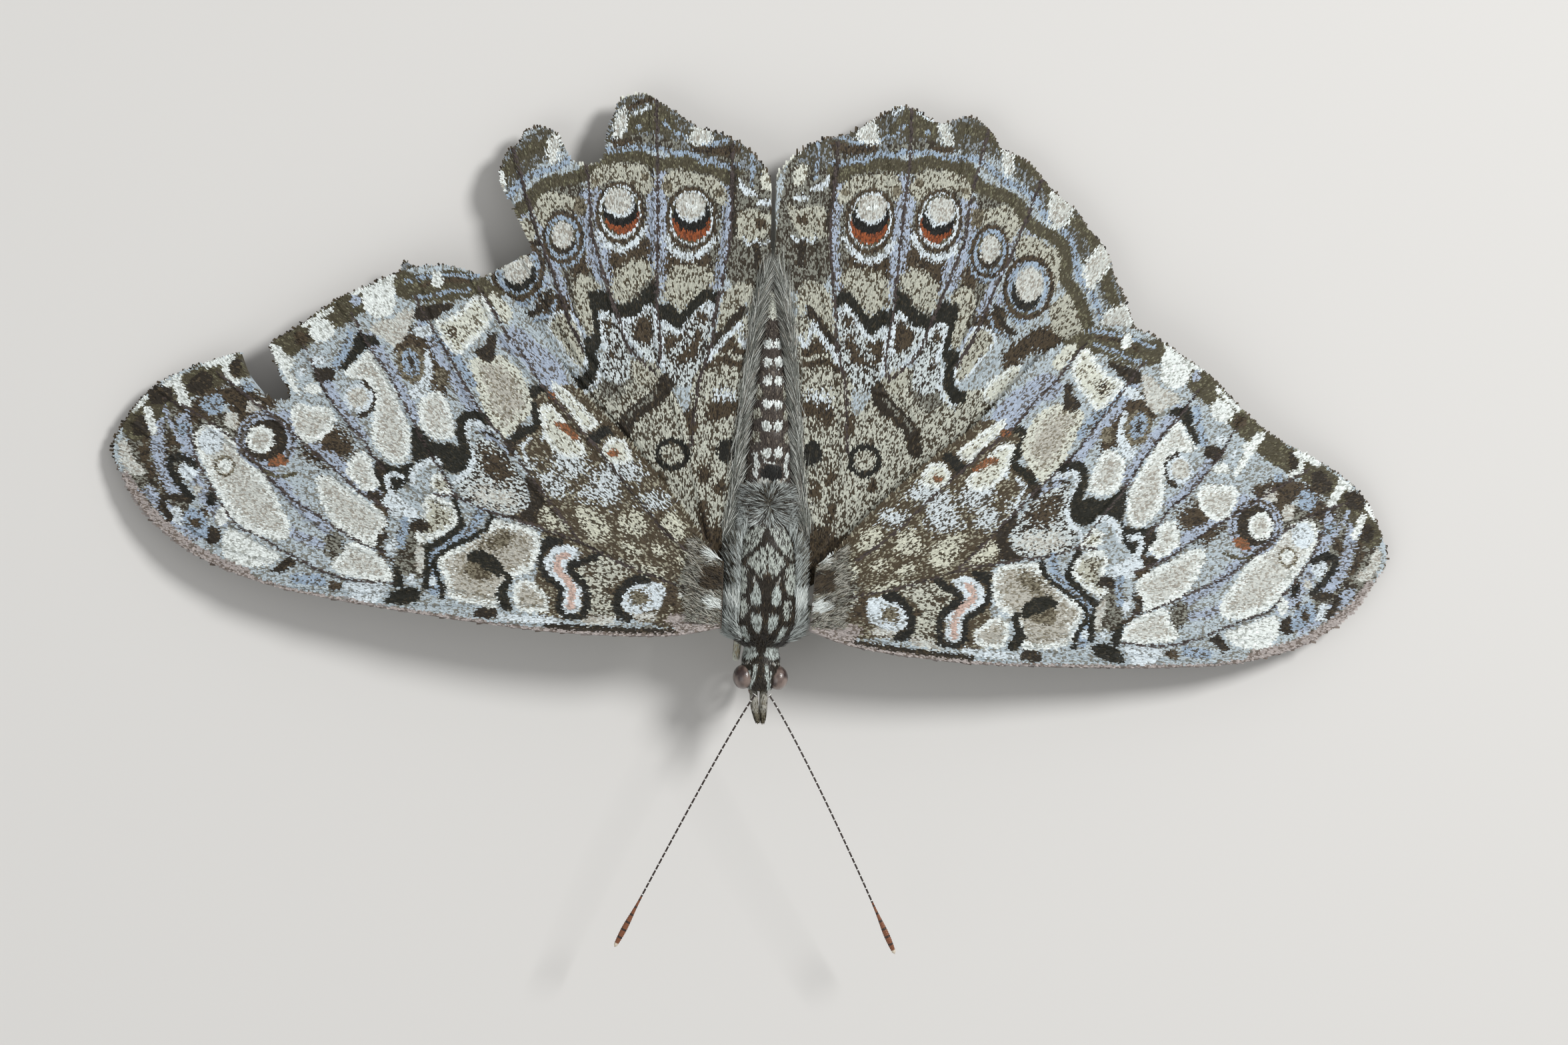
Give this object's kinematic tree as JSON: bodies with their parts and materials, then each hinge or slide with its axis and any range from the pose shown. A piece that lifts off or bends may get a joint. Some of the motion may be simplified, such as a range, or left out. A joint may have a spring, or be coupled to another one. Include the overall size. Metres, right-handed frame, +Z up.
{
  "type": "gray cracker butterfly",
  "caption": "Life-size still model of a gray cracker butterfly at rest with its patterned wings spread flat.",
  "frame": {"origin": "middle of the model's footprint, at the level of its soles", "axes": "+X toward the animal's left, across the spread wings; -Y toward its head; +Z up, out of its back"},
  "size_m": [0.0782, 0.0514, 0.0077],
  "materials": {
    "wing_scales": "matt powder-like scales in black, olive brown, cream and lavender blue",
    "body_hair": "short scales and soft grey hair with pale spots",
    "eye": "brown faceted eye with a soft shine",
    "horn_brown": "dark satin horn-like skin, with white dots and rusty tips on the antennae",
    "leg_scales": "banded grey-brown scales"
  },
  "bodies": {
    "root": {"thorax": "body_hair", "abdomen": "body_hair", "head": "body_hair", "eye_left": "eye", "eye_right": "eye", "palp_left": "body_hair", "palp_right": "body_hair", "proboscis": "horn_brown", "antenna_left": "horn_brown", "antenna_right": "horn_brown", "foreleg_left": "leg_scales", "foreleg_right": "leg_scales", "midleg_left": "leg_scales", "midleg_right": "leg_scales", "hindleg_left": "leg_scales", "hindleg_right": "leg_scales", "forewing_left": "wing_scales", "forewing_right": "wing_scales", "hindwing_left": "wing_scales", "hindwing_right": "wing_scales"}
  },
  "joints": []
}
